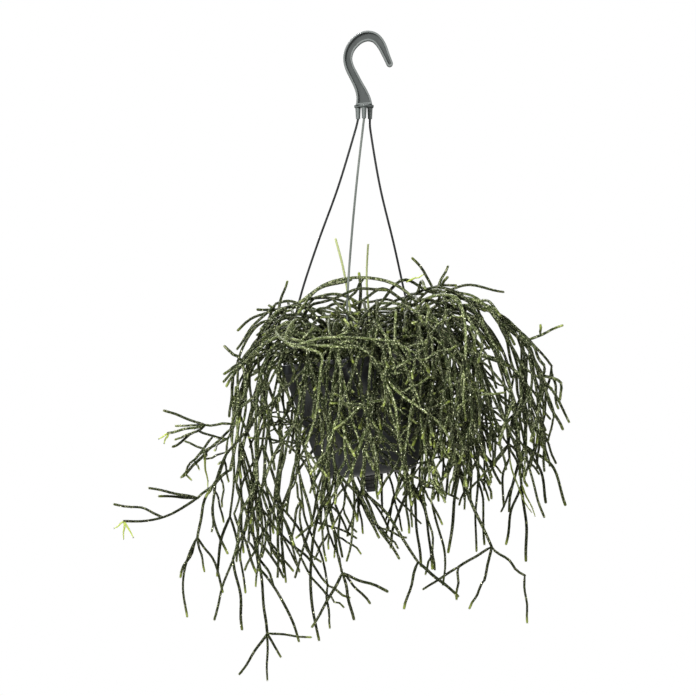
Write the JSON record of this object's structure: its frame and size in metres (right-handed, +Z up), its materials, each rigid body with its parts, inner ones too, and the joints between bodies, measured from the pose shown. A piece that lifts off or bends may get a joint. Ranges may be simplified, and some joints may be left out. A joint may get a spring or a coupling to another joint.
{
  "type": "potted hanging rhipsalis pilocarpa",
  "caption": "Hanging pot with a mistletoe cactus whose slim bristly stems branch in whorls and trail over the rim, under a hook and strands.",
  "frame": {"origin": "the point inside the crown of the hook where the plant hangs", "axes": "+Z up, along the plumb line and the object's longest extent; +X to the right and -Y to the front, as seen with the hook's opening to the right"},
  "size_m": [0.4111, 0.3066, 0.577],
  "materials": {
    "pot": "satin",
    "hanger": "satin",
    "strand_dark": "satin",
    "strand_grey": "satin",
    "soil": "matte",
    "stems": "matte",
    "young_shoots": "matte"
  },
  "bodies": {
    "root": {"back_drop": "stems", "bottom_star": "stems", "centre_star": "stems", "dark_shoot": "stems", "drain_plug": "pot", "front_arch": "stems", "hanger_hook": "hanger", "hanger_strand_front": "strand_grey", "hanger_strand_left": "strand_dark", "hanger_strand_right": "strand_dark", "left_drop": "stems", "left_fan": "stems", "left_star": "stems", "long_arm": "stems", "low_middle": "stems", "pot": "pot", "right_drop": "stems", "right_hang": "stems", "right_star": "stems", "right_wide": "stems", "soil": "soil", "spray_01": "stems", "spray_02": "stems", "spray_03": "stems", "spray_04": "stems", "spray_05": "stems", "spray_06": "stems", "spray_07": "stems", "spray_08": "stems", "spray_09": "stems", "spray_10": "stems", "spray_11": "stems", "spray_12": "stems", "spray_13": "stems", "spray_14": "stems", "spray_15": "stems", "spray_16": "stems", "spray_17": "stems", "spray_18": "stems", "spray_19": "stems", "spray_20": "stems", "spray_21": "stems", "spray_22": "stems", "spray_23": "stems", "spray_24": "stems", "spray_25": "stems", "spray_26": "stems", "top_arc": "stems", "top_star": "stems", "young_shoot_left": "young_shoots", "young_shoot_right": "young_shoots"}
  },
  "joints": []
}
